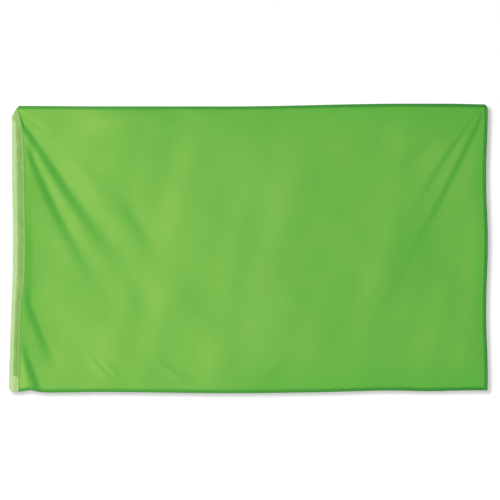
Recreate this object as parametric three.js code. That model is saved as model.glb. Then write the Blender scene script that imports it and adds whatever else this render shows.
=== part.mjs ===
// A plain rectangular flag, hanging by its two top corners.
//
// Millimetres. +X runs from the pole sleeve (hoist) to the free end (fly), +Z is up, and the
// front of the flag faces -Y. The origin is on the axis of the pole channel at its top end,
// so the flag hangs below it. Every piece follows one draped surface, given by drape().

import * as THREE from 'three';

// ---------------------------------------------------------------- driving sizes

const flagLength = 1500; // hoist fold to fly edge
const flagHeight = 900;

const clothThickness = 0.4;
const tapeThickness = 0.5;
const layerGap = 0.3; // air between two layers that lie on each other

const headerWidth = 38; // folded tape, from its fold to its inner edge
const channelDepth = 12; // how far the sleeve stands open, front to back
const allowanceWidth = 23; // cloth that reaches into the sleeve
const foldRadius = 0.6; // inside radius of the tape's fold

const hemWidth = 11;
const hemLayers = 2; // turned layers behind the cloth

const threadWidth = 0.6;
const threadHeight = 0.35;
const headerRowInset = 2.5; // first stitch row to the tape's inner edge
const headerRowPitch = 3;
const hemRowInset = 1.5; // hem stitch row to the hem's inner edge
const flyRowPitch = 5; // between the two stitch rows of the fly hem

const swingClearance = 1.5; // cloth starts this far beyond the seam line it swings on
const drapeColumns = 38;
const drapeRows = 23;
const legSteps = 14; // along each leg of the tape
const foldSteps = 8; // round the tape's fold

// ---------------------------------------------------------------- places that follow

const channelWidth = headerWidth - headerRowInset - headerRowPitch - threadWidth;
const foldX = -channelWidth / 2;
const seamX = foldX + headerWidth; // the tape's inner edge, the line that the cloth swings on
const channelEndX = foldX + channelWidth;
const clothStartX = seamX + swingClearance;
const flyX = foldX + flagLength;
const flyHemX = flyX - hemWidth;
const legInsideY = clothThickness / 2 + layerGap;
const legOutsideY = legInsideY + tapeThickness;
const hemFrontY = clothThickness / 2 + layerGap;
const hemBackY = hemFrontY + hemLayers * clothThickness;

// ---------------------------------------------------------------- the draped surface

// Folds pull out of the two held corners. Angles are in degrees below the horizontal, measured
// inwards from the corner; a positive depth is a groove, away from the front.
const cornerInset = { x: 28, z: 18 };
const cornerFolds = [
  { corner: 'hoist', steepness: 70, turn: -5, reach: 800, near: 30, far: 46, depth: 15 },
  { corner: 'hoist', steepness: 54, turn: -3, reach: 800, near: 30, far: 60, depth: -10 },
  { corner: 'fly', steepness: 69, turn: -7, reach: 900, near: 30, far: 46, depth: 13 },
  { corner: 'fly', steepness: 50, turn: 0, reach: 700, near: 30, far: 60, depth: -8 },
];

// Two folds start at the header seam, low down, and run towards the bottom edge. Their share is
// how far down the seam they start.
const seamFolds = [
  { share: 0.62, steepness: 62, reach: 340, halfWidth: 34, depth: 12 },
  { share: 0.88, steepness: 68, reach: 280, halfWidth: 34, depth: 12 },
];

// A corner fold is deepest in its nearer part, and a seam fold is already open at the seam.
const cornerFoldSkew = 0.6;
const seamFoldHeadStart = 0.15;

// Broad swells that grow towards the free bottom edge: waves along the length and the height.
const billowWaves = [
  { depth: 3, alongLength: 1.6, alongHeight: 0.35, phase: 0 },
  { depth: 2, alongLength: 0.9, alongHeight: -0.8, phase: 1 },
];
const flatBesideSeam = 45;
const flatUnderTopHem = 60;

function groove(offset, halfWidth) {
  return Math.exp(-((offset / halfWidth) ** 2));
}

function cornerFoldDepth(fold, x, z) {
  const fromHoist = fold.corner === 'hoist';
  const across = fromHoist ? x - (foldX + cornerInset.x) : flyX - cornerInset.x - x;
  const down = -z - cornerInset.z;
  const distance = Math.hypot(across, down);
  const share = distance / fold.reach;
  if (share >= 1 || down <= 0) return 0;
  const direction = THREE.MathUtils.radToDeg(Math.atan2(down, across));
  const turned = direction - fold.steepness - fold.turn * share;
  const offset = distance * THREE.MathUtils.degToRad(turned);
  const swell = Math.sin(Math.PI * share ** cornerFoldSkew);
  return fold.depth * swell * groove(offset, THREE.MathUtils.lerp(fold.near, fold.far, share));
}

function seamFoldDepth(fold, x, z) {
  const slope = THREE.MathUtils.degToRad(fold.steepness);
  const across = x - seamX;
  const down = -z - fold.share * flagHeight;
  const along = across * Math.cos(slope) + down * Math.sin(slope);
  const offset = across * Math.sin(slope) - down * Math.cos(slope);
  const share = along / fold.reach + seamFoldHeadStart;
  if (share <= 0 || share >= 1) return 0;
  return fold.depth * Math.sin(Math.PI * share) * groove(offset, fold.halfWidth);
}

function billow(x, z) {
  const across = (x - foldX) / flagLength;
  const down = -z / flagHeight;
  let depth = 0;
  for (const wave of billowWaves) {
    const turns = wave.alongLength * across + wave.alongHeight * down;
    depth += wave.depth * Math.sin(2 * Math.PI * turns + wave.phase);
  }
  return depth * down;
}

// How far the cloth's middle plane lies behind (+Y) the plane of the header.
function drape(x, z) {
  let depth = billow(x, z);
  for (const fold of cornerFolds) depth += cornerFoldDepth(fold, x, z);
  for (const fold of seamFolds) depth += seamFoldDepth(fold, x, z);
  const besideSeam = 1 - Math.exp(-(((x - seamX) / flatBesideSeam) ** 2));
  const underTopHem = 1 - Math.exp(-((z / flatUnderTopHem) ** 2));
  return depth * besideSeam * underTopHem;
}

// ---------------------------------------------------------------- shared builders

function evenSteps(from, to, count) {
  return Array.from({ length: count + 1 }, (_, i) => THREE.MathUtils.lerp(from, to, i / count));
}

// A layer that follows the drape. xs and zs are its stations, frontY and backY its two faces
// measured from the middle plane of the cloth. Its quads all split along the same diagonal, so
// layers on the same stations keep an even gap.
function drapedLayer(xs, zs, frontY, backY) {
  const points = [];
  for (const face of [frontY, backY]) {
    for (const z of zs) {
      for (const x of xs) points.push(x, drape(x, z) + face, z);
    }
  }
  const at = (layer, row, column) => (layer * zs.length + row) * xs.length + column;
  const triangles = [];
  const addQuad = (a, b, c, d) => triangles.push(a, b, c, a, c, d);
  const lastRow = zs.length - 1;
  const lastColumn = xs.length - 1;
  for (let row = 0; row < lastRow; row += 1) {
    for (let column = 0; column < lastColumn; column += 1) {
      const corners = [[0, 0], [0, 1], [1, 1], [1, 0]];
      const [a, b, c, d] = corners.map(([up, along]) => at(0, row + up, column + along));
      const [e, f, g, h] = corners.map(([up, along]) => at(1, row + up, column + along));
      addQuad(a, b, c, d);
      triangles.push(e, g, f, e, h, g);
    }
    const edge = [at(0, row, 0), at(0, row + 1, 0), at(1, row + 1, 0), at(1, row, 0)];
    const farEdge = edge.map((point) => point + lastColumn).reverse();
    addQuad(...edge);
    addQuad(...farEdge);
  }
  for (let column = 0; column < lastColumn; column += 1) {
    const edge = [at(0, 0, column), at(1, 0, column), at(1, 0, column + 1), at(0, 0, column + 1)];
    const farEdge = edge.map((point) => point + lastRow * xs.length).reverse();
    addQuad(...edge);
    addQuad(...farEdge);
  }
  const geometry = new THREE.BufferGeometry();
  geometry.setAttribute('position', new THREE.Float32BufferAttribute(points, 3));
  geometry.setIndex(triangles);
  geometry.computeVertexNormals();
  return geometry;
}

// A straight vertical strip beside or inside the header, which hangs flat.
function flatStrip(fromX, toX, frontY, backY) {
  const geometry = new THREE.BoxGeometry(toX - fromX, backY - frontY, flagHeight);
  geometry.translate((fromX + toX) / 2, (frontY + backY) / 2, -flagHeight / 2);
  return geometry;
}

// A closed outline in X and Y, extruded down the whole height of the header.
function hoistExtrusion(outline) {
  const shape = new THREE.Shape(outline);
  const geometry = new THREE.ExtrudeGeometry(shape, { depth: flagHeight, bevelEnabled: false });
  geometry.translate(0, 0, -flagHeight);
  return geometry;
}

const cloth = () => new THREE.MeshStandardMaterial({ color: 0x76b94c, roughness: 0.6, metalness: 0 });
const tape = () => new THREE.MeshStandardMaterial({ color: 0xc0dca0, roughness: 0.7, metalness: 0 });
const thread = () => new THREE.MeshStandardMaterial({ color: 0x62a53f, roughness: 0.5, metalness: 0 });

const flag = new THREE.Group();

function addPiece(name, geometry, material) {
  const mesh = new THREE.Mesh(geometry, material);
  mesh.name = name;
  flag.add(mesh);
}

// ---------------------------------------------------------------- stations of the cloth

const topStitchZ = -(hemWidth - hemRowInset);
const bottomStitchZ = -flagHeight - topStitchZ;
const flyInnerRowX = flyHemX + hemRowInset;
const flyOuterRowX = flyInnerRowX + flyRowPitch;

const openColumns = evenSteps(clothStartX, flyHemX, drapeColumns);
const openRows = evenSteps(-hemWidth, hemWidth - flagHeight, drapeRows);
const topHemRows = [0, topStitchZ, -hemWidth];
const bottomHemRows = [hemWidth - flagHeight, bottomStitchZ, -flagHeight];
const flyHemColumns = [flyHemX, flyInnerRowX, flyOuterRowX, flyX];

const clothColumns = [...openColumns, ...flyHemColumns.slice(1)];
const clothRows = [...topHemRows, ...openRows.slice(1, -1), ...bottomHemRows].reverse();

// ---------------------------------------------------------------- cloth and hems

// One panel of woven cloth, from the header seam to the fly edge.
addPiece(
  'field_cloth',
  drapedLayer(clothColumns, clothRows, -clothThickness / 2, clothThickness / 2),
  cloth(),
);

// The turned layers of each hem lie behind the panel. The top and bottom hems end at the fly
// hem, which runs the whole height.
const hemColumns = [...openColumns.slice(0, -1), flyHemX - layerGap];
const upward = (rows) => [...rows].reverse();
addPiece('top_hem', drapedLayer(hemColumns, upward(topHemRows), hemFrontY, hemBackY), cloth());
addPiece('bottom_hem', drapedLayer(hemColumns, upward(bottomHemRows), hemFrontY, hemBackY), cloth());
addPiece('fly_hem', drapedLayer(flyHemColumns, clothRows, hemFrontY, hemBackY), cloth());

// ---------------------------------------------------------------- header

// Half the opening between the two legs of the tape: flat where it is stitched, and bulging
// between the stitches and the fold.
function legHalfGap(x) {
  const share = THREE.MathUtils.clamp((x - foldX) / (channelEndX - foldX), 0, 1);
  const bulge = channelDepth / 2 - legInsideY;
  return legInsideY + bulge * Math.sin(Math.PI * share);
}

// Points along one leg, from the fold to the inner edge, at a distance off the inner face.
function legPoints(side, offset, fromX) {
  const bulging = evenSteps(fromX, channelEndX, legSteps);
  const points = [...bulging, seamX].map((x) => new THREE.Vector2(x, legHalfGap(x) + offset));
  return points.map((point) => new THREE.Vector2(point.x, side * point.y));
}

// The fold joins the two legs round a small arc. It bulges away from the channel, to -X.
function foldPoints(radius, centreX) {
  const arc = evenSteps(Math.PI / 2, (3 * Math.PI) / 2, foldSteps).slice(1, -1);
  return arc.map((a) => new THREE.Vector2(centreX + radius * Math.cos(a), radius * Math.sin(a)));
}

// One strip of tape folded lengthwise: the sleeve that the pole goes through.
function headerTapeOutline() {
  const centreX = foldX + foldRadius + tapeThickness;
  const outside = foldRadius + tapeThickness;
  return [
    ...legPoints(1, tapeThickness, centreX).reverse(),
    ...foldPoints(outside, centreX),
    ...legPoints(-1, tapeThickness, centreX),
    ...legPoints(-1, 0, centreX).reverse(),
    ...foldPoints(foldRadius, centreX).reverse(),
    ...legPoints(1, 0, centreX),
  ];
}
addPiece('header_tape', hoistExtrusion(headerTapeOutline()), tape());

// The hoist edge of the panel reaches into the sleeve, against its front leg.
function allowanceOutline() {
  const fromX = seamX - allowanceWidth;
  const frontFace = (x) => -legHalfGap(x) + layerGap;
  const xs = [...evenSteps(fromX, channelEndX, legSteps), seamX];
  const front = xs.map((x) => new THREE.Vector2(x, frontFace(x)));
  const back = xs.map((x) => new THREE.Vector2(x, frontFace(x) + clothThickness));
  return [...front, ...back.reverse()];
}
addPiece('hoist_allowance', hoistExtrusion(allowanceOutline()), cloth());

// ---------------------------------------------------------------- stitching

// Each row is a lockstitch: the needle thread lies on the front and the bobbin thread behind.
const headerRows = {
  inner: seamX - headerRowInset,
  outer: seamX - headerRowInset - headerRowPitch,
};
for (const [row, x] of Object.entries(headerRows)) {
  const near = legOutsideY + layerGap;
  const far = near + threadHeight;
  const from = x - threadWidth / 2;
  const to = x + threadWidth / 2;
  addPiece(`header_${row}_needle_thread`, flatStrip(from, to, -far, -near), thread());
  addPiece(`header_${row}_bobbin_thread`, flatStrip(from, to, near, far), thread());
}

// Faces of a hem's two threads, off the middle plane of the cloth.
const needleFaces = [
  -clothThickness / 2 - layerGap - threadHeight,
  -clothThickness / 2 - layerGap,
];
const bobbinFaces = [hemBackY + layerGap, hemBackY + layerGap + threadHeight];

// A hem row along X stops short of the fly hem's stitching.
const rowEndX = flyInnerRowX - threadWidth / 2 - layerGap;
const acrossRow = [...openColumns, rowEndX];
for (const [hem, z] of Object.entries({ top: topStitchZ, bottom: bottomStitchZ })) {
  const zs = [z - threadWidth / 2, z + threadWidth / 2];
  addPiece(`${hem}_hem_needle_thread`, drapedLayer(acrossRow, zs, ...needleFaces), thread());
  addPiece(`${hem}_hem_bobbin_thread`, drapedLayer(hemColumns, zs, ...bobbinFaces), thread());
}

for (const [row, x] of Object.entries({ inner: flyInnerRowX, outer: flyOuterRowX })) {
  const xs = [x - threadWidth / 2, x + threadWidth / 2];
  addPiece(`fly_${row}_needle_thread`, drapedLayer(xs, clothRows, ...needleFaces), thread());
  addPiece(`fly_${row}_bobbin_thread`, drapedLayer(xs, clothRows, ...bobbinFaces), thread());
}

export default flag;
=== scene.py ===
# %% [markdown]
# # A plain flag with a pole sleeve
#
# This lesson dresses a finished CAD model of a flag: one green cloth panel with turned and
# stitched hems, and a pale, see-through tape folded into a sleeve for the pole. The CAD says
# where everything is and how it swings. Blender makes it look like cloth, tape and thread.
#
# Metres throughout. X runs from the sleeve to the free end (the fly), Z is up, and the front of
# the flag faces -Y. The pole would stand on the Z axis.

import bpy
import numpy as np
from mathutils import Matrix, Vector


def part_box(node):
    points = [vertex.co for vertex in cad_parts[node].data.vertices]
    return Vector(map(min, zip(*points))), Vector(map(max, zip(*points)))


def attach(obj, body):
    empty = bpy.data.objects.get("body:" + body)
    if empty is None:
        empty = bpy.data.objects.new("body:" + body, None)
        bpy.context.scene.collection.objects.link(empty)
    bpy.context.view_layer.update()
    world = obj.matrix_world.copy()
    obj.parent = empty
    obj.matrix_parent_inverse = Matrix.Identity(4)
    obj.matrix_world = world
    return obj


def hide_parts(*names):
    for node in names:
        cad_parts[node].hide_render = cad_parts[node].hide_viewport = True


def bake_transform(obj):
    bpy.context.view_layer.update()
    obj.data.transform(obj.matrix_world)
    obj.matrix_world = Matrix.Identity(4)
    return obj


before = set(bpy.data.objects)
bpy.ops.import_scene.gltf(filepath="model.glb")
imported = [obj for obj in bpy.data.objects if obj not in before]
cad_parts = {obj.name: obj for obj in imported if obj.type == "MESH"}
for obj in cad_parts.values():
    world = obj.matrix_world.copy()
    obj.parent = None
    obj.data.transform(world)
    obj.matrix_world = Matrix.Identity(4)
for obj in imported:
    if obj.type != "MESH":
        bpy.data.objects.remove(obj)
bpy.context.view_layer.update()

# %% [markdown]
# ## Where the pieces are
#
# A flag maker measures from three lines: the fold of the sleeve, the seam where the sleeve is
# sewn to the cloth, and the fly edge. Reading them from the CAD pieces, rather than typing them
# in again, keeps the cloth where the joint expects it.

# %% Lines to measure from
MM = 0.001

tape_low, tape_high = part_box("header_tape")
cloth_low, cloth_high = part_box("field_cloth")
hem_low, hem_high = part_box("fly_hem")
allowance_low, allowance_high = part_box("hoist_allowance")

FOLD_X = tape_low.x
SEAM_X = tape_high.x
FLY_X = cloth_high.x
DROP = cloth_high.z - cloth_low.z
SPAN = FLY_X - FOLD_X
HEM = hem_high.x - hem_low.x
ALLOWANCE = allowance_high.x - allowance_low.x
SLEEVE_HALF_DEPTH = tape_high.y - 1 * MM
print("span", round(SPAN, 4), "drop", round(DROP, 4), "hem", round(HEM, 4))

# %% [markdown]
# ## How the cloth hangs
#
# The flag is held by its two top corners. Thin cloth can't carry its weight straight up, so it
# pulls into folds that fan out of the held corners, narrow at the corner and wider further
# away, like a cone. A cone keeps its slope as it widens, so each fold below is laid by its
# slope: the angle it leaves the corner at, how it bends on the way, how far it reaches, and how
# wide it has become there. A plus slope is a groove, away from the front; a minus is a ridge.

# %% Folds from the held corners
HELD_HOIST = (FOLD_X + 20.5 * MM, -12 * MM)
HELD_FLY = (FLY_X - 20 * MM, -12 * MM)

# angle, turn and curl in degrees: turn builds up over the whole fold, and curl is spent close to
# the corner. start, reach, near and far in millimetres: where the fold begins and ends, and its
# width there. lean narrows the lower side of the fold and makes it steeper.
FOLD_KEYS = ("angle", "turn", "curl", "start", "reach", "near", "far", "slope", "lean")
HOIST_FOLDS = [dict(zip(FOLD_KEYS, sizes)) for sizes in (
    (57.9, -4.2, 2, 0, 700, 11, 58, 0.33, 0.15),
    (72.4, -9.8, 9, 105, 700, 9, 48, 0.27, 0.3),
    (45.5, 1.0, 0, 50, 330, 7, 29, 0.24, 0.2),
    (34.0, 4.0, 0, 110, 520, 5, 49, 0.07, 0.0),
    (27.0, 24.0, 0, 400, 820, 5, 55, 0.10, 0.2),
)]
FLY_FOLDS = [dict(zip(FOLD_KEYS, sizes)) for sizes in (
    (55.5, 3.0, 0, 0, 460, 15, 68, 0.105, -0.75),
    (65.5, -2.3, 7, 0, 520, 32, 50, -0.110, 0.75),
    (65.5, -4.2, 7, 0, 950, 32, 66, -0.028, 0.75),
    (78.0, -6.0, 6, 30, 420, 5, 35, 0.04, 0.0),
    (37.5, 1.0, 0, 90, 640, 5, 41, 0.06, -0.2),
)]


def ease(value):
    """0 below 0, 1 above 1, and a smooth step between."""
    t = np.clip(value, 0.0, 1.0)
    return t * t * (3 - 2 * t)


def hump(value, centre, width):
    return np.exp(-(((value - centre) / width) ** 2))


STEEPEST = 0.86  # a hump one high and one wide is this steep at its steepest
CURL_SPENT = 110  # millimetres from the corner in which most of a fold's curl is spent


def corner_fold(fold, across, down):
    """Depth of one fold, at points measured inwards and downwards from the held corner."""
    distance = np.hypot(across, down) / MM
    share = distance / fold["reach"]
    direction = np.degrees(np.arctan2(down, np.maximum(across, -0.2)))
    middle = fold["angle"] + fold["turn"] * share + fold["curl"] * np.exp(-distance / CURL_SPENT)
    off = distance * np.radians(direction - middle)
    width = fold["near"] + (fold["far"] - fold["near"]) * np.clip(share, 0, 1)
    sided = width * np.where(off > 0, 1 - fold["lean"], 1 + fold["lean"])
    grows = ease((distance - fold["start"] + 8) / (30 + 0.3 * fold["start"]))
    fades = 1 - ease((share - 0.22) / 0.78)
    depth = fold["slope"] * width / STEEPEST
    return depth * MM * grows * fades * hump(off, 0, sided)


print(len(HOIST_FOLDS), "folds at the hoist corner,", len(FLY_FOLDS), "at the fly corner")

# %% [markdown]
# Lower down the sleeve's stiff seam holds the cloth back, and short folds start there and run
# to the bottom edge. A few faint creases above the bottom hem come from how the flag was packed.
# These are straight, so each is a start, a direction, a length and a width.

# %% Folds from the seam and creases near the bottom
# x and z in millimetres from the seam's top; angle below the horizontal, towards the fly; gentle
# is how many times wider the upper side is than the lower one
SHORT_FOLDS = [
    dict(x=-9, z=-535, angle=66, reach=350, near=9, far=26, depth=6.5, gentle=6),
    dict(x=1, z=-725, angle=67, reach=265, near=9, far=22, depth=8, gentle=10),
    dict(x=186, z=-770, angle=47, reach=170, near=8, far=13, depth=-1.3, gentle=1),
    dict(x=226, z=-775, angle=47, reach=140, near=7, far=11, depth=-1.1, gentle=1),
    dict(x=392, z=-790, angle=32, reach=200, near=8, far=14, depth=-2.2, gentle=1),
    dict(x=838, z=-788, angle=146, reach=130, near=8, far=13, depth=-1.2, gentle=1),
    dict(x=930, z=-800, angle=140, reach=120, near=8, far=13, depth=-1.0, gentle=1),
    dict(x=330, z=-500, angle=66, reach=260, near=26, far=46, depth=1.6, gentle=1),
    dict(x=300, z=-260, angle=60, reach=240, near=22, far=40, depth=1.6, gentle=1),
]


def short_fold(fold, x, z):
    slope = np.radians(fold["angle"])
    right = (x - SEAM_X) / MM - fold["x"]
    below = fold["z"] - z / MM
    along = right * np.cos(slope) + below * np.sin(slope)
    off = right * np.sin(slope) - below * np.cos(slope)
    share = along / fold["reach"]
    width = fold["near"] + (fold["far"] - fold["near"]) * np.clip(share, 0, 1)
    sided = width * np.where(off > 0, fold["gentle"], 1)
    swell = ease(share / 0.45) * (1 - ease((share - 0.55) / 0.45))
    return fold["depth"] * MM * swell * hump(off, 0, sided)


# %% [markdown]
# Between the folds the cloth billows: broad swells that nobody would call a fold, but that the
# sheen picks out. Waves of many lengths and directions, drawn with a fixed seed so that they
# come out the same each time, give the cloudy look of thin cloth. The cloth is tied flat at the
# seam, the stitched top hem keeps it quiet there, and the hems at the foot and the fly let go.
# Last come the lies of the whole sheet: the held corners sit a little further back than the
# cloth between them, and the foot beside the stiff tape stands a little forward.

# %% Billows, and the whole drape
dice = np.random.default_rng(12)
BILLOW_WAVES = []
for _ in range(30):
    wavelength = dice.uniform(0.09, 0.4)
    heading = dice.uniform(0, np.pi)
    height = 0.0014 * wavelength * dice.uniform(0.5, 1.2)
    BILLOW_WAVES.append((wavelength, heading, height, dice.uniform(0, 2 * np.pi)))


def billow(x, z):
    down = -z / DROP
    swell = 5.5 * MM * np.cos(2 * np.pi * (x - 0.28 + 0.12 * down) / 1.35) * ease(down / 0.4)
    for wavelength, heading, height, phase in BILLOW_WAVES:
        along = x * np.cos(heading) + z * np.sin(heading)
        swell = swell + height * np.sin(2 * np.pi * along / wavelength + phase)
    return swell


def foot_lie(x, z):
    """Beside the stiff foot of the tape the cloth stands forward a little."""
    return -10 * MM * hump(x, SEAM_X, 150 * MM) * hump(z, -DROP, 150 * MM)


def corner_lie(x, z):
    """The held corners are set back a little: the cloth comes forward between them."""
    from_hoist = x - SEAM_X
    forward = ease((from_hoist - 10 * MM) / 0.3) * (1 - ease((from_hoist - 0.35) / 0.6))
    to_fly = ease((x - FLY_X + 0.2) / 0.2)
    return (15 * MM * to_fly - 13 * MM * forward) * hump(z, -40 * MM, 85 * MM)


def drape(x, z):
    """How far the cloth lies behind the plane of the seam."""
    depth = billow(x, z)
    for fold in HOIST_FOLDS:
        depth = depth + corner_fold(fold, x - HELD_HOIST[0], HELD_HOIST[1] - z)
    for fold in FLY_FOLDS:
        depth = depth + corner_fold(fold, HELD_FLY[0] - x, HELD_FLY[1] - z)
    for fold in SHORT_FOLDS:
        depth = depth + short_fold(fold, x, z)
    held = 3 * MM + 12 * MM * ease((-z - 30 * MM) / (150 * MM))
    beside_seam = np.where(x < SEAM_X, 0, 1 - hump(x, SEAM_X, held))
    under_top = 0.1 + 0.9 * (1 - hump(z, 0, 16 * MM))
    past_seam = x - SEAM_X
    seam_dip = 0.9 * MM * ease((past_seam + 0.5 * MM) / (4 * MM)) * (1 - ease(past_seam / (24 * MM)))
    fly_crease = 1.6 * MM * hump(z, -422 * MM, 5 * MM) * ease((x - FLY_X + 26 * MM) / (20 * MM))
    laid = depth * under_top + corner_lie(x, z) + foot_lie(x, z)
    return laid * beside_seam + seam_dip + fly_crease


# %% [markdown]
# ## The outline
#
# A hung flag is never quite a rectangle. The sleeve bows inwards at the middle and kicks out at
# its foot, the fly edge waves a little, and the bottom edge sags. These slides move the cloth
# within its own plane, a few millimetres at most.

# %% Slides of the edges
def hoist_slide(z, at_seam):
    down = -z / DROP
    fold_line = 3 + 3 * hump(down, 0.47, 0.15) - 9.5 * ease((down - 0.58) / 0.46)
    pinch = -27 * np.exp(-down * DROP / (50 * MM)) - 8.5 * ease((down - 0.59) / 0.12)
    return (fold_line + at_seam * pinch) * MM


def fly_slide(z):
    down = -z / DROP
    return (3.0 * np.cos(2 * np.pi * 2.15 * (down - 0.02)) - 0.3) * (1 - 0.15 * down) * MM


def top_rise(x):
    across = (x - FOLD_X) / SPAN
    rise = 2 * (1 - ease(across / 0.2)) + 9 * ease((across - 0.45) / 0.38)
    return (rise - 4.8 - 2 * ease((across - 0.92) / 0.08)) * MM


def foot_rise(x):
    across = (x - FOLD_X) / SPAN
    sag = -3.5 - 4.5 * hump(across, 0.46, 0.2) + 4.0 * ease((across - 0.62) / 0.18)
    notch = 5.0 * hump(across, 0.05, 0.013) - 1.5 * hump(across, 0.083, 0.02)
    notch = notch + 9 * hump(across, 0, 0.004)
    return (sag + notch - 2 * hump(across, 0.12, 0.04) - 2.5 * hump(across, 0.88, 0.05)) * MM


def cloth_point(x, z):
    """The middle plane of the hanging cloth, as three arrays stacked in the last axis."""
    to_header = np.clip((x - FOLD_X) / (SEAM_X - FOLD_X), 0, 1)
    near_hoist = 1 - ease((x - SEAM_X) / 0.22)
    near_fly = ease((x - FLY_X + 0.18) / 0.18)
    slid = x + hoist_slide(z, to_header) * near_hoist + fly_slide(z) * near_fly
    down = np.clip(-z / DROP, 0, 1)
    risen = z + top_rise(x) * (1 - down) ** 1.5 + foot_rise(x) * down ** 3
    return np.stack([slid, drape(x, z), risen], axis=-1)


def surface(x, z):
    """Point and front-to-back direction of the hanging cloth at (x, z)."""
    step = 0.6 * MM
    along = cloth_point(x + step, z) - cloth_point(x - step, z)
    up = cloth_point(x, z + step) - cloth_point(x, z - step)
    back = np.cross(up, along)
    back /= np.linalg.norm(back, axis=-1, keepdims=True)
    return cloth_point(x, z), back


seam_check = surface(np.array([SEAM_X]), np.array([-0.5]))
print("cloth at the seam", np.round(seam_check[0], 4), "faces back along", np.round(seam_check[1], 2))

# %% [markdown]
# ## Turned hems
#
# A hem is the cloth's own edge turned twice and stitched down: the raw edge ends up tucked
# between two layers, where it can't fray. Modelling the turns as real layers makes the edge
# round, thick and a little stiff, as it is on a sewn flag. So the panel is one sheet, and a hem
# is only a rule for where the cloth goes after it reaches the edge: round the edge, back along
# the rear, and in again. The fly hem is turned last, over the ends of the other two.

# %% A hem as a path
LAYER = 0.34 * MM  # one layer of cloth and the air beside it


def hem_path(width, arc_steps=6):
    """Stations past the hem line: what part of the turn, how far along it, and cut length."""
    path = []
    for inset in (width + 0.8 * MM, width, width - 1.5 * MM, width * 0.6, width * 0.3, 1.2 * MM):
        path.append(("front", inset, -inset))
    for step in range(1, arc_steps):
        path.append(("edge", step / arc_steps, 0.4 * MM * step))
    for inset in (1.2 * MM, width * 0.3, width * 0.6, width - 1.5 * MM, width - 0.5 * MM):
        path.append(("back", inset, 2 * MM + inset))
    for step in range(1, 4):
        path.append(("tuck_turn", step / 4, 2 * MM + width))
    for inset in (width - 0.6 * MM, width * 0.6, 1.5 * MM):
        path.append(("tucked", inset, 3 * MM + 2 * width - inset))
    return path


def place_in_hem(part, value, width, under, layers):
    """(inset from the edge, height in layers) of a hem station.

    under is where this strand lies in what is being hemmed, and layers how many strands that
    has besides the first: 0 for plain cloth, 2 where another hem is turned inside this one.
    """
    front = under
    tucked = layers + 1 + under
    back = 2 * (layers + 1) + layers - under
    widest = (3 * layers + 2) / 2 * LAYER
    if part == "front":
        return value + 0 * under, front
    if part == "edge":
        angle = np.pi * value
        radius = (back - front) / 2
        return widest - radius * LAYER * np.sin(angle), (front + back) / 2 - radius * np.cos(angle)
    if part == "back":
        return value + 0 * under, back
    if part == "tuck_turn":
        angle = np.pi * value
        radius = (back - tucked) / 2
        turned = (tucked + back) / 2 + radius * np.cos(angle)
        return width - 0.5 * MM + np.abs(radius) * LAYER * np.sin(angle), turned
    return value + 0 * under, tucked


HEM_PATH = hem_path(HEM)
print("hem stations", len(HEM_PATH))

# %% [markdown]
# ## The panel
#
# The grid is finest near the two held corners, where the folds are narrow, and opens up towards
# the middle. Each grid point keeps its place in the flat, uncut cloth as a UV, in metres, so the
# weave lies straight along the threads and goes round every turn without slipping.

# %% Stations of the panel
def spread(start, end, fine_start, coarse, fine_end):
    """Stations from start to end whose spacing grows from one size to another and back."""
    middle = (start + end) / 2
    stations = [start]
    while stations[-1] < end:
        share = abs(stations[-1] - middle) / (middle - start)
        fine = fine_start if stations[-1] < middle else fine_end
        stations.append(stations[-1] + coarse + (fine - coarse) * share ** 3)
    stations = np.array(stations)
    return start + (stations - start) * (end - start) / (stations[-1] - start)


def panel_columns():
    """(part, value, cut length, x) from the edge inside the sleeve to the tucked fly edge."""
    inside = np.linspace(SEAM_X - ALLOWANCE, SEAM_X - 1 * MM, 12)
    outside = spread(SEAM_X, FLY_X - HEM - 1.5 * MM, 2.6 * MM, 8 * MM, 3.2 * MM)
    plain = [("front", FLY_X - x, x - FLY_X) for x in (*inside, *outside)]
    return plain + HEM_PATH


def panel_rows():
    """(part, value, cut length, edge) from the tucked top edge to the tucked bottom edge."""
    middle = spread(HEM + 1.5 * MM, DROP - HEM - 1.5 * MM, 3.6 * MM, 6.5 * MM, 4.5 * MM)
    rows = [(*station, "top") for station in reversed(HEM_PATH)]
    rows += [("front", down, -down, "top") for down in middle]
    rows += [(*station, "foot") for station in HEM_PATH]
    return rows


COLUMNS = panel_columns()
ROWS = panel_rows()
print("panel grid", len(COLUMNS), "by", len(ROWS))

# %% [markdown]
# The sleeve stands open for the pole, so the cloth's edge inside it follows the bulge of the
# sleeve's front side. `sleeve_half_gap` is that bulge: nothing along the stitching, and most in
# the middle of the channel. Near the top corner, where the sleeve is turned back, it is pressed flat.

# %% The sleeve's bulge
CHANNEL_END = FOLD_X + 31.9 * MM
END_TURN = 48 * MM  # the tape's end, turned inside; the cloth's edge is clipped away there
PRESSED = 0.75 * MM  # half the thickness of the sleeve where it is pressed flat
ALLOWANCE_GAP = 0.45 * MM  # from the middle of the tape's front leg to the cloth behind it


def sleeve_half_gap(x, z):
    share = np.clip((x - FOLD_X) / (CHANNEL_END - FOLD_X), 0, 1)
    down = -z / DROP
    fullness = 0.16 + 0.84 * ease((down - 0.03) / 0.12)
    fullness = fullness * (0.86 + 0.14 * np.sin(23 * down) * np.sin(9 * down + 1))
    return PRESSED + (SLEEVE_HALF_DEPTH - PRESSED) * np.sin(np.pi * share) * fullness


def sleeve_ripple(x, z):
    """Small waves in the sleeve's front side, and two creases across it."""
    ripple = 0.5 * MM * np.sin(95 * z / DROP + 40 * x) * hump(x, FOLD_X + 14 * MM, 9 * MM)
    pulled = ease((x - FOLD_X - 6 * MM) / (8 * MM))
    ripple = ripple - 2.2 * MM * hump(z, -188 * MM, 3.5 * MM) * pulled
    return ripple - 1.5 * MM * hump(z, -437 * MM, 2.5 * MM)


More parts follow.
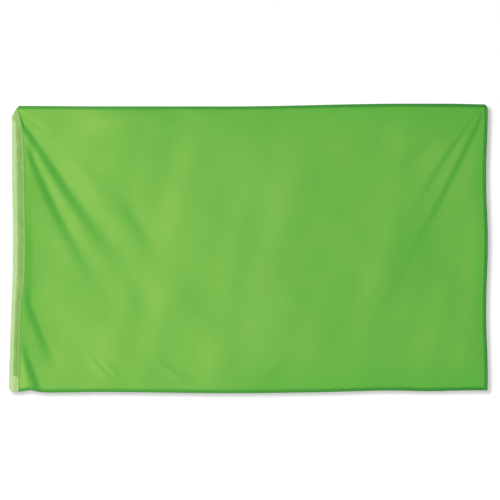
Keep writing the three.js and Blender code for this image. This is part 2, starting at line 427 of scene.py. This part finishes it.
def rippled(half, x, z):
    """Half the sleeve's thickness with its ripple, which shows only where the sleeve is open."""
    return half + sleeve_ripple(x, z) * ease((half - 1.2 * MM) / (1.5 * MM))


# %% [markdown]
# The top corner of the sleeve is turned back behind the flag, as if by the fixing that holds it.
# Turning a corner is a bend about a slanting line: points beyond the line go round a small
# cylinder and lie flat again on the other side, facing backwards.

# %% Turning a corner back
def turn_back(points, through, leaning, radius, depth=0.0):
    """Bends the points that lie beyond a line in the flag's plane round behind it.

    leaning is the line's outward direction, in degrees from +X towards +Z, and depth is the
    y of the layer that keeps its length.
    """
    angle = np.radians(leaning)
    outward = np.array([np.cos(angle), 0.0, np.sin(angle)])
    beyond = (points - np.array([through[0], 0.0, through[1]])) @ outward
    bend = np.clip(beyond / radius, 0, np.pi)
    rest = np.maximum(beyond - np.pi * radius, 0)
    lift = radius - (points[..., 1] - depth)
    moved = lift * np.sin(bend) - rest
    turned_y = depth + radius - lift * np.cos(bend)
    result = points + (np.where(beyond > 0, moved - beyond, 0))[..., None] * outward
    result[..., 1] = np.where(beyond > 0, turned_y, points[..., 1])
    return result


FLY_CORNER_Y = float(corner_lie(FLY_X, -5 * MM))


def turn_held_corners(points):
    points = turn_back(points, (0.5 * MM, -19 * MM), 151, 2.2 * MM)
    return turn_back(points, (FLY_X - 6.5 * MM, -5.5 * MM), 45, 5.5 * MM, FLY_CORNER_Y)


# %% [markdown]
# The panel is one grid of points. Each point knows how far it is from the edges and how many
# layers lie under it there, so the same few lines place flat cloth, single hems and the crossed
# hems at the corners.

# %% Building the panel
def add_object(name, data):
    made = bpy.data.objects.new(name, data)
    bpy.context.scene.collection.objects.link(made)
    return made


def smooth_mesh(name, points, faces):
    mesh = bpy.data.meshes.new(name)
    mesh.from_pydata(points, [], faces)
    mesh.polygons.foreach_set("use_smooth", np.ones(len(faces), bool))
    return mesh


def grid_mesh(name, points, flat):
    """A piece from a grid of points, with flat holding each point's place in the cut cloth."""
    rows, columns = points.shape[:2]
    index = np.arange(rows * columns).reshape(rows, columns)
    corners = [index[:-1, :-1], index[1:, :-1], index[1:, 1:], index[:-1, 1:]]
    faces = np.stack(corners, axis=-1).reshape(-1, 4)
    mesh = smooth_mesh(name, points.reshape(-1, 3).tolist(), faces.tolist())
    uv = mesh.uv_layers.new(name="flat_cloth")
    uv.data.foreach_set("uv", flat.reshape(-1, 2)[faces.ravel()].astype(np.float32).ravel())
    mesh.update()
    return add_object(name, mesh)


def hem_rows():
    """Inset, side, height in layers and cut length of every row of the panel."""
    placed = []
    for part, value, length, edge in ROWS:
        inset, height = place_in_hem(part, value, HEM, np.array(0.0), 0)
        down = float(inset) if edge == "top" else DROP - float(inset)
        cut = -length if edge == "top" else DROP + length
        placed.append((down, float(height), cut))
    return np.array(placed)


def in_top_or_foot_hem(down):
    """1 where the top or bottom hem lies behind the cloth, 0 on the plain cloth."""
    from_edge = np.minimum(down, DROP - down)
    return 1 - ease((from_edge - HEM + 0.5 * MM) / (1.6 * MM))


def panel_points(columns, rows):
    """Where each crossing of columns and rows lies on the hanging flag."""
    down, under, cut_down = rows[:, 0:1], rows[:, 1:2], rows[:, 2:3]
    inside_hem = 2 * in_top_or_foot_hem(down)
    x_list = []
    height_list = []
    for part, value, _ in columns:
        inset, height = place_in_hem(part, value, HEM, under, inside_hem)
        x_list.append(FLY_X - inset)
        height_list.append(height)
    x = np.concatenate(x_list, axis=1)
    height = np.concatenate(height_list, axis=1)
    z = np.broadcast_to(-down, x.shape)
    clipped = 0.12 + 0.88 * ease((DROP - END_TURN - down) / (3 * MM))
    x = np.where(x < SEAM_X, SEAM_X + (x - SEAM_X) * clipped, x)
    points, back = surface(x, z)
    in_sleeve = np.clip((SEAM_X - 1 * MM - x) / (4 * MM), 0, 1)
    pushed = -(rippled(sleeve_half_gap(x, z), x, z) - ALLOWANCE_GAP) * in_sleeve
    points = points + back * (height * LAYER)[..., None]
    points[..., 1] += pushed
    cut = np.array([length for _, _, length in columns])[None, :] + FLY_X - SEAM_X
    flat = np.stack(np.broadcast_arrays(cut, -cut_down), axis=-1)
    return turn_held_corners(points), flat


ROW_TABLE = hem_rows()
panel_grid, panel_flat = panel_points(COLUMNS, ROW_TABLE)
flag_cloth = grid_mesh("flag_cloth", panel_grid, panel_flat)
print("flag_cloth", len(flag_cloth.data.polygons), "faces, y from",
      round(float(panel_grid[..., 1].min()), 4), "to", round(float(panel_grid[..., 1].max()), 4))

# %% [markdown]
# ## The sleeve tape
#
# The sleeve is one strip of thin tape, folded lengthwise and stitched to both sides of the
# cloth. It is see-through: the green edge of the panel shows inside it, and the pole channel
# looks almost white. Its two ends are turned inside before sewing, so the last few centimetres
# are double, look paler and hide more of the green.

# %% Section of the tape
TAPE_GAP = 0.35 * MM  # between the sleeve's wall and its turned-in end
TAPE_FOLD_RADIUS = 1.6 * MM


def tape_section(leg_steps=16, arc_steps=8):
    """(x, side) stations from the front leg's inner edge, round the fold, to the back leg's."""
    leg = np.concatenate([[SEAM_X, SEAM_X - 1.5 * MM, SEAM_X - 3.5 * MM],
                          np.linspace(CHANNEL_END, FOLD_X + TAPE_FOLD_RADIUS, leg_steps)])
    around = np.linspace(0, np.pi, arc_steps + 2)[1:-1]
    front = [(x, -1.0, 0.0) for x in leg]
    arc = [(FOLD_X + TAPE_FOLD_RADIUS, -np.cos(a), np.sin(a)) for a in around]
    back = [(x, 1.0, 0.0) for x in leg[::-1]]
    return np.array(front + arc + back)


def tape_rows():
    """(distance down, distance inside the sleeve's wall, cut length) of each row."""
    middle = spread(1.2 * MM, DROP - 1.2 * MM, 3 * MM, 7 * MM, 3 * MM)
    inner = np.linspace(END_TURN, 1.2 * MM, 14)
    rows = [(down, 1.0, -down) for down in inner]
    rows += [(0.0, 0.5, 0.0)]
    rows += [(down, 0.0, down) for down in middle]
    rows += [(DROP, 0.5, DROP)]
    rows += [(DROP - up, 1.0, DROP + up) for up in inner[::-1]]
    return np.array(rows)


def tape_points(section, rows):
    down, turned = rows[:, 0:1], rows[:, 1:2]
    x, side, roll = section[:, 0][None, :], section[:, 1][None, :], section[:, 2][None, :]
    z = -down + 0 * x
    inner = TAPE_GAP * turned
    half = sleeve_half_gap(x, z) - inner
    round_fold = (TAPE_FOLD_RADIUS - inner) * roll
    centre, _ = surface(x + 0 * z, z)
    y = centre[..., 1] + side * rippled(half, x, z)
    points = np.stack([centre[..., 0] - round_fold, y, centre[..., 2]], axis=-1)
    return turn_held_corners(points)


SECTION = tape_section()
TAPE_ROWS = tape_rows()
tape_grid = tape_points(SECTION, TAPE_ROWS)
around_tape = np.linspace(0, 2 * (SEAM_X - FOLD_X), len(SECTION))
tape_flat = np.stack(np.broadcast_arrays(around_tape[None, :], -TAPE_ROWS[:, 2:3]), axis=-1)
sleeve_tape = grid_mesh("sleeve_tape", tape_grid, tape_flat)
print("sleeve_tape", len(sleeve_tape.data.polygons), "faces")

# %% [markdown]
# ## Stitches
#
# Every row is a lockstitch: one thread shows on the front and a second one behind, and each
# stitch is about 3 mm of thread that dives into the cloth at both ends. A small bead with five
# sides, thin at its ends and proud in the middle, is enough, copied along the row and bent to
# the cloth.

# %% One row of stitches
STITCH = 3.0 * MM
THREAD_RADIUS = 0.24 * MM


def stitch_row(name, start, end, on_front, height_of):
    """Stitches from start to end, each (x, z), lying height_of(x, z) behind the cloth."""
    start, end = np.array(start), np.array(end)
    length = np.linalg.norm(end - start)
    count = int(length / STITCH)
    rings = np.array([(-0.46, 0.35), (-0.3, 0.9), (0.0, 1.05), (0.3, 0.9), (0.46, 0.35)])
    sides = 5
    middle = (np.arange(count) + 0.5) / count
    share = middle[:, None] + rings[None, :, 0] / count
    line = start + (end - start) * share[..., None]
    centre, back = surface(line[..., 0], line[..., 1])
    sink = (1.0 - rings[:, 1]) * 0.25 * MM
    out = -1.0 if on_front else 1.0
    lift = height_of(line[..., 0], line[..., 1]) + out * (THREAD_RADIUS - sink[None, :])
    centre = centre + back * lift[..., None]
    direction = (end - start) / length
    across = np.array([-direction[1], 0.0, direction[0]])
    angle = 2 * np.pi * np.arange(sides) / sides
    radius = THREAD_RADIUS * rings[:, 1]
    ring = np.cos(angle)[:, None] * across + 0 * radius[:, None, None]
    offset = radius[:, None, None] * ring
    points = centre[:, :, None, :] + offset[None]
    points = points + back[:, :, None, :] * (radius[:, None] * np.sin(angle))[None, ..., None]
    points = turn_held_corners(points)
    index = np.arange(count * len(rings) * sides).reshape(count, len(rings), sides)
    here, ahead = index[:, :-1, :], index[:, 1:, :]
    quads = [here, ahead, np.roll(ahead, -1, axis=2), np.roll(here, -1, axis=2)]
    faces = np.stack(quads, axis=-1).reshape(-1, 4).tolist()
    faces += index[:, 0, ::-1].tolist() + index[:, -1, :].tolist()
    return add_object(name, smooth_mesh(name, points.reshape(-1, 3).tolist(), faces))


def at_height(layers):
    return lambda x, z: layers * LAYER + 0 * x


def fly_back_height(x, z):
    """The back of the fly hem: two more layers, and six more over the ends of the others."""
    return (2 + 6 * in_top_or_foot_hem(-z)) * LAYER


print("stitch", STITCH, "m long, thread", 2 * THREAD_RADIUS, "m thick")

# %% [markdown]
# The CAD says where each row runs, so the stitches are sewn along the middles of its thread
# pieces. The rows on the hems bend with the cloth, and those on the sleeve stay with the tape.

# %% Every row of the flag
def node_middle(node):
    low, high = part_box(node)
    return (low + high) / 2


HEADER_FACE = PRESSED + 0.05 * MM
threads = []
for row in ("inner", "outer"):
    x = node_middle(f"header_{row}_needle_thread").x
    for kind, side in (("needle", -1), ("bobbin", 1)):
        height = side * HEADER_FACE / LAYER
        name = f"header_{row}_{kind}"
        made = stitch_row(name, (x, -30 * MM), (x, -DROP + 2 * MM), side < 0, at_height(height))
        threads.append((made, f"{name}_thread", "header"))

inner_x = node_middle("fly_inner_needle_thread").x
for row in ("top", "bottom"):
    z = node_middle(f"{row}_hem_needle_thread").z
    for kind, height in (("needle", 0), ("bobbin", 2)):
        name = f"{row}_hem_{kind}"
        span = ((SEAM_X + 1 * MM, z), (inner_x - 1 * MM, z))
        made = stitch_row(name, *span, height == 0, at_height(height))
        threads.append((made, f"{name}_thread", "field"))

for row in ("inner", "outer"):
    x = node_middle(f"fly_{row}_needle_thread").x
    for kind in ("needle", "bobbin"):
        name = f"fly_{row}_{kind}"
        height = at_height(0) if kind == "needle" else fly_back_height
        made = stitch_row(name, (x, -6 * MM), (x, -DROP + 2 * MM), kind == "needle", height)
        threads.append((made, f"{name}_thread", "field"))
print(len(threads), "rows,", sum(len(row[0].data.polygons) for row in threads), "faces")

# %% [markdown]
# ## Shader groups
#
# Cloth and tape share one effect: a plain weave, thread over thread. It is built once as a node
# group that takes the flat-cloth position and gives back a height for bumps and a faint, uneven
# colour, because no two threads take dye alike. The pattern is in metres, so a pitch is a pitch.

# %% The weave group
def add_socket(group, name, direction, kind, default=None):
    socket = group.interface.new_socket(name=name, in_out=direction, socket_type=kind)
    if default is not None:
        socket.default_value = default
    return socket


def math_node(nodes, links, operation, first, second=None, third=None):
    node = nodes.new("ShaderNodeMath")
    node.operation = operation
    for slot, value in enumerate((first, second, third)):
        if value is None:
            continue
        if isinstance(value, (int, float)):
            node.inputs[slot].default_value = value
        else:
            links.new(value, node.inputs[slot])
    return node.outputs[0]


def noise_node(nodes, links, vector, scale, detail, stretch=(1, 1, 1)):
    mapping = nodes.new("ShaderNodeMapping")
    mapping.inputs["Scale"].default_value = stretch
    links.new(vector, mapping.inputs["Vector"])
    noise = nodes.new("ShaderNodeTexNoise")
    noise.inputs["Scale"].default_value = scale
    noise.inputs["Detail"].default_value = detail
    links.new(mapping.outputs[0], noise.inputs["Vector"])
    return noise.outputs["Fac"]


def make_weave_group():
    group = bpy.data.node_groups.new("plain_weave", "ShaderNodeTree")
    add_socket(group, "Flat Cloth", "INPUT", "NodeSocketVector")
    add_socket(group, "Threads Per Metre", "INPUT", "NodeSocketFloat", 2400.0)
    add_socket(group, "Height", "OUTPUT", "NodeSocketFloat")
    add_socket(group, "Slub", "OUTPUT", "NodeSocketFloat")
    nodes, links = group.nodes, group.links
    source = nodes.new("NodeGroupInput")
    split = nodes.new("ShaderNodeSeparateXYZ")
    links.new(source.outputs["Flat Cloth"], split.inputs[0])
    waves = []
    for axis in ("X", "Y"):
        count = source.outputs["Threads Per Metre"]
        turns = math_node(nodes, links, "MULTIPLY", split.outputs[axis], count)
        phase = math_node(nodes, links, "MULTIPLY", turns, np.pi)
        waves.append(math_node(nodes, links, "SINE", phase))
    over = math_node(nodes, links, "MULTIPLY", waves[0], waves[1])
    height = math_node(nodes, links, "MULTIPLY_ADD", over, 0.5, 0.5)
    place = source.outputs["Flat Cloth"]
    warp = noise_node(nodes, links, place, 1.0, 3.0, (900, 14, 1))
    weft = noise_node(nodes, links, place, 1.0, 3.0, (14, 900, 1))
    slub = math_node(nodes, links, "ADD", warp, weft)
    slub = math_node(nodes, links, "MULTIPLY", slub, 0.5)
    sink = nodes.new("NodeGroupOutput")
    links.new(height, sink.inputs["Height"])
    links.new(slub, sink.inputs["Slub"])
    return group


WEAVE = make_weave_group()
print("group", WEAVE.name, [s.name for s in WEAVE.interface.items_tree])

# %% [markdown]
# ## Green cloth
#
# The panel is thin polyester with a soft satin sheen. Seen flat it is a clear yellow-green, and
# where it turns away from the light it goes deeper and bluer, because only the dye is left and
# the sheen is gone. The hems have three layers, so less light comes through them: their darker
# colour is painted shade, painted darker still towards the fly, where less light reaches the hem.
# A thin dark line of painted shade also runs along each hem's rolled outer edge.
# Stitching also puckers the cloth beside it, which dulls the sheen there, so the roughness rises
# towards the hems: not at all near the sleeve, and most at the fly.

# %% Cloth material
def new_material(name, roughness, specular):
    material = bpy.data.materials.new(name)
    material.use_nodes = True
    shader = material.node_tree.nodes["Principled BSDF"]
    shader.inputs["Roughness"].default_value = roughness
    shader.inputs["Specular IOR Level"].default_value = specular
    return material, shader


def mix_colour(nodes, links, amount, first, second):
    mix = nodes.new("ShaderNodeMix")
    mix.data_type = "RGBA"
    links.new(amount, mix.inputs["Factor"])
    for socket, value in ((mix.inputs[6], first), (mix.inputs[7], second)):
        if isinstance(value, tuple):
            socket.default_value = (*value, 1.0)
        else:
            links.new(value, socket)
    return mix.outputs[2]


def flat_place(nodes):
    place = nodes.new("ShaderNodeUVMap")
    place.uv_map = "flat_cloth"
    return place.outputs["UV"]


def band(nodes, links, value, start, end):
    """0 where value is start, 1 where it is end."""
    ramp = nodes.new("ShaderNodeMapRange")
    ramp.inputs["From Min"].default_value = start
    ramp.inputs["From Max"].default_value = end
    links.new(value, ramp.inputs["Value"])
    return ramp.outputs[0]


def make_cloth():
    material, shader = new_material("green_cloth", 0.55, 0.45)
    shader.inputs["Specular Tint"].default_value = (1.0, 0.68, 0.24, 1.0)
    shader.inputs["IOR"].default_value = 1.62
    nodes, links = material.node_tree.nodes, material.node_tree.links
    place = flat_place(nodes)
    split = nodes.new("ShaderNodeSeparateXYZ")
    links.new(place, split.inputs[0])
    weave = nodes.new("ShaderNodeGroup")
    weave.node_tree = WEAVE
    links.new(place, weave.inputs["Flat Cloth"])
    soft = noise_node(nodes, links, place, 5.0, 2.0)
    base = mix_colour(nodes, links, soft, (0.029, 0.177, 0.018), (0.035, 0.193, 0.022))
    slub = band(nodes, links, weave.outputs["Slub"], 0.35, 0.65)
    base = mix_colour(nodes, links, slub, base, (0.041, 0.201, 0.026))
    across, down = split.outputs["X"], split.outputs["Y"]
    fly = FLY_X - SEAM_X
    foot = math_node(nodes, links, "ADD", down, DROP)
    ends = math_node(nodes, links, "MINIMUM", math_node(nodes, links, "MULTIPLY", down, -1.0), foot)
    side = math_node(nodes, links, "SUBTRACT", fly, across)
    inset = math_node(nodes, links, "MINIMUM", ends, side)
    hem = band(nodes, links, inset, HEM + 0.4 * MM, HEM - 0.4 * MM)
    # painted shade: a dark line painted along the rolled outer edge of each hem, where the turn lies
    # in shade
    edge_painted_shade = band(nodes, links, inset, 3.2 * MM, 0.6 * MM)
    towards_fly = band(nodes, links, across, 0.3, 1.4)
    # painted shade: the hems are painted darker for the light that three layers hold back, and darker
    # still towards the fly
    hem_painted_shade = mix_colour(nodes, links, towards_fly, (0.022, 0.158, 0.020), (0.007, 0.116, 0.014))
    base = mix_colour(nodes, links, hem, base, hem_painted_shade)
    base = mix_colour(nodes, links, edge_painted_shade, base, (0.008, 0.092, 0.012))
    links.new(base, shader.inputs["Base Color"])
    wide_side = math_node(nodes, links, "MULTIPLY", side, 2.0)
    stitched = math_node(nodes, links, "MINIMUM", ends, wide_side)
    pucker = band(nodes, links, stitched, 120 * MM, HEM)
    pucker = math_node(nodes, links, "MULTIPLY", pucker, towards_fly)
    rough = math_node(nodes, links, "MULTIPLY_ADD", pucker, 0.36, 0.47)
    uneven = noise_node(nodes, links, place, 8.0, 3.0)
    rough = math_node(nodes, links, "ADD", rough, math_node(nodes, links, "MULTIPLY", uneven, 0.1))
    rough = math_node(nodes, links, "MAXIMUM", rough, math_node(nodes, links, "MULTIPLY", hem, 0.85))
    links.new(rough, shader.inputs["Roughness"])
    bump = nodes.new("ShaderNodeBump")
    bump.inputs["Strength"].default_value = 0.35
    bump.inputs["Distance"].default_value = 0.2 * MM
    links.new(weave.outputs["Height"], bump.inputs["Height"])
    links.new(bump.outputs[0], shader.inputs["Normal"])
    return material


cloth_finish = make_cloth()
print("made", cloth_finish.name)

# %% [markdown]
# ## Sleeve tape and thread
#
# The tape lets about half the light through. Giving it an Alpha of a half, rather than painting
# what shows inside, means the green edge and the pale channel come from the real layers, from
# every side. Thread is polyester too, twisted, a little glossier than the cloth.

# %% Tape and thread materials
def make_tape():
    material, shader = new_material("sleeve_tape", 0.6, 0.25)
    nodes, links = material.node_tree.nodes, material.node_tree.links
    place = flat_place(nodes)
    weave = nodes.new("ShaderNodeGroup")
    weave.node_tree = WEAVE
    weave.inputs["Threads Per Metre"].default_value = 1500.0
    links.new(place, weave.inputs["Flat Cloth"])
    cloudy = noise_node(nodes, links, place, 34.0, 1.0)
    base = mix_colour(nodes, links, cloudy, (0.195, 0.315, 0.080), (0.225, 0.345, 0.110))
    split = nodes.new("ShaderNodeSeparateXYZ")
    links.new(place, split.inputs[0])
    foot = band(nodes, links, split.outputs["Y"], END_TURN - DROP + 1 * MM, END_TURN - DROP - 1 * MM)
    foot = math_node(nodes, links, "MULTIPLY", foot, 0.8)
    base = mix_colour(nodes, links, foot, base, (0.31, 0.43, 0.18))
    links.new(base, shader.inputs["Base Color"])
    alpha = band(nodes, links, cloudy, 0.2, 0.8)
    alpha = math_node(nodes, links, "MULTIPLY_ADD", alpha, 0.14, 0.49)
    links.new(alpha, shader.inputs["Alpha"])
    bump = nodes.new("ShaderNodeBump")
    bump.inputs["Strength"].default_value = 0.4
    bump.inputs["Distance"].default_value = 0.3 * MM
    links.new(weave.outputs["Height"], bump.inputs["Height"])
    links.new(bump.outputs[0], shader.inputs["Normal"])
    return material


def make_thread():
    material, shader = new_material("sewing_thread", 0.42, 0.6)
    nodes, links = material.node_tree.nodes, material.node_tree.links
    place = nodes.new("ShaderNodeTexCoord")
    twist = noise_node(nodes, links, place.outputs["Object"], 900.0, 1.0)
    base = mix_colour(nodes, links, twist, (0.07, 0.27, 0.04), (0.12, 0.36, 0.07))
    links.new(base, shader.inputs["Base Color"])
    return material


tape_finish = make_tape()
thread_finish = make_thread()
print("made", tape_finish.name, "and", thread_finish.name)

# %% [markdown]
# ## What moves with what
#
# The sleeve is one body and the cloth another, joined at the seam. The panel runs through both.
# The tape and the sleeve's stitches ride with the sleeve, and the fly hem's stitches with the
# cloth. Each made piece stands in for the CAD pieces that it is.

# %% Ride and stand in
flag_cloth.data.materials.append(cloth_finish)
sleeve_tape.data.materials.append(tape_finish)

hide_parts("field_cloth", "top_hem", "bottom_hem", "fly_hem", "hoist_allowance")
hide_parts("header_tape")
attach(sleeve_tape, "header")

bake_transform(flag_cloth)

for row, node, body in threads:
    row.data.materials.append(thread_finish)
    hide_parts(node)
    if body == "header" or node.startswith("fly"):
        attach(row, body)
    else:
        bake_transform(row)

# %% [markdown]
# ## Studio
#
# A pale floor runs into a pale wall through a curve, so no corner shows. The wall stands well
# behind the flag, further than the cloth can swing. It is painted on one side only: from behind
# it is clear, so every side of the flag can be looked at.

# %% Floor and wall
FLOOR_Z = -DROP - 0.8
WALL_Y = 1.9
COVE = 0.4


def make_sweep():
    curve = [(-6.0, FLOOR_Z), (WALL_Y - COVE, FLOOR_Z)]
    for step in range(1, 12):
        angle = np.pi / 2 * step / 12
        y = WALL_Y - COVE + COVE * np.sin(angle)
        curve.append((y, FLOOR_Z + COVE - COVE * np.cos(angle)))
    curve += [(WALL_Y, FLOOR_Z + COVE), (WALL_Y, 2.6)]
    points = [(x, y, z) for y, z in curve for x in (-5.0, 6.5)]
    faces = [(2 * i, 2 * i + 1, 2 * i + 3, 2 * i + 2) for i in range(len(curve) - 1)]
    return add_object("studio_sweep", smooth_mesh("studio_sweep", points, faces))


def make_paper():
    material, shader = new_material("studio_paper", 0.9, 0.1)
    shader.inputs["Base Color"].default_value = (0.9, 0.9, 0.9, 1)
    shader.inputs["Emission Color"].default_value = (1, 1, 1, 1)
    shader.inputs["Emission Strength"].default_value = 0.27
    nodes, links = material.node_tree.nodes, material.node_tree.links
    clear = nodes.new("ShaderNodeBsdfTransparent")
    side = nodes.new("ShaderNodeNewGeometry")
    choose = nodes.new("ShaderNodeMixShader")
    links.new(side.outputs["Backfacing"], choose.inputs[0])
    links.new(shader.outputs[0], choose.inputs[1])
    links.new(clear.outputs[0], choose.inputs[2])
    links.new(choose.outputs[0], nodes["Material Output"].inputs["Surface"])
    return material


sweep = make_sweep()
sweep.data.materials.append(make_paper())
print("floor at", round(FLOOR_Z, 3), "wall at", WALL_Y)

# %% [markdown]
# ## Light and camera
#
# A big soft light far out on the left, level with the middle of the flag, makes the satin glow
# and lets the right side fall off. The sheen is strongest where the cloth leans a little towards
# that light, so every fold shows a bright side and a dark one. A small light beside the lens
# gives the thin, crisp shadow line along the right and bottom edges. The camera looks straight
# on from far away with a long lens, so the flag's edges stay parallel.

# %% Lights and camera
MIDDLE = Vector((0.737, 0.0, -0.457))


def area_light(name, place, target, size, power, glossy=True):
    data = bpy.data.lights.new(name, "AREA")
    data.shape = "DISK"
    data.size = size
    data.energy = power
    light = add_object(name, data)
    light.location = place
    light.visible_glossy = glossy
    light.rotation_euler = (Vector(target) - Vector(place)).to_track_quat("-Z", "Y").to_euler()
    return light


CAMERA_DISTANCE = 13.0
VIEW_WIDTH = 1.575  # what the picture takes in across, at the flag
CAMERA_PLACE = Vector((MIDDLE.x, -CAMERA_DISTANCE, MIDDLE.z))
key = area_light("key", (-4.05, -9.75, -0.4), MIDDLE, 2.0, 1590.0)
lens_light = area_light("lens_light", CAMERA_PLACE + Vector((-0.078, 0.4, 0.075)), MIDDLE, 0.14,
                        1230.0, glossy=False)
back_fill = area_light("back_fill", (1.6, 1.7, 0.5), MIDDLE, 1.6, 60.0)
back_fill.visible_camera = False

lit_pieces = bpy.data.collections.new("lit_pieces")
for piece in (flag_cloth, sleeve_tape, *(row for row, _, _ in threads)):
    lit_pieces.objects.link(piece)
key.light_linking.receiver_collection = lit_pieces
back_fill.light_linking.receiver_collection = lit_pieces

world = bpy.data.worlds.new("studio")
world.use_nodes = True
sky = world.node_tree.nodes["Background"]
sky.inputs["Color"].default_value = (1, 1, 1, 1)
ray = world.node_tree.nodes.new("ShaderNodeLightPath")
strength = world.node_tree.nodes.new("ShaderNodeMapRange")
strength.inputs["To Min"].default_value = 0.1
strength.inputs["To Max"].default_value = 1.0
world.node_tree.links.new(ray.outputs["Is Camera Ray"], strength.inputs["Value"])
world.node_tree.links.new(strength.outputs[0], sky.inputs["Strength"])
bpy.context.scene.world = world
world.cycles_visibility.glossy = False

camera_data = bpy.data.cameras.new("camera")
camera_data.sensor_width = 36.0
camera_data.lens = camera_data.sensor_width * CAMERA_DISTANCE / VIEW_WIDTH
camera_data.clip_end = 100.0
camera = add_object("camera", camera_data)
camera.location = CAMERA_PLACE
camera.rotation_euler = (np.pi / 2, 0.0, 0.0)
bpy.context.scene.camera = camera
bpy.context.scene.view_settings.view_transform = "Standard"
print("lens", round(camera_data.lens, 1), "mm at", round(-CAMERA_PLACE.y, 1), "m")
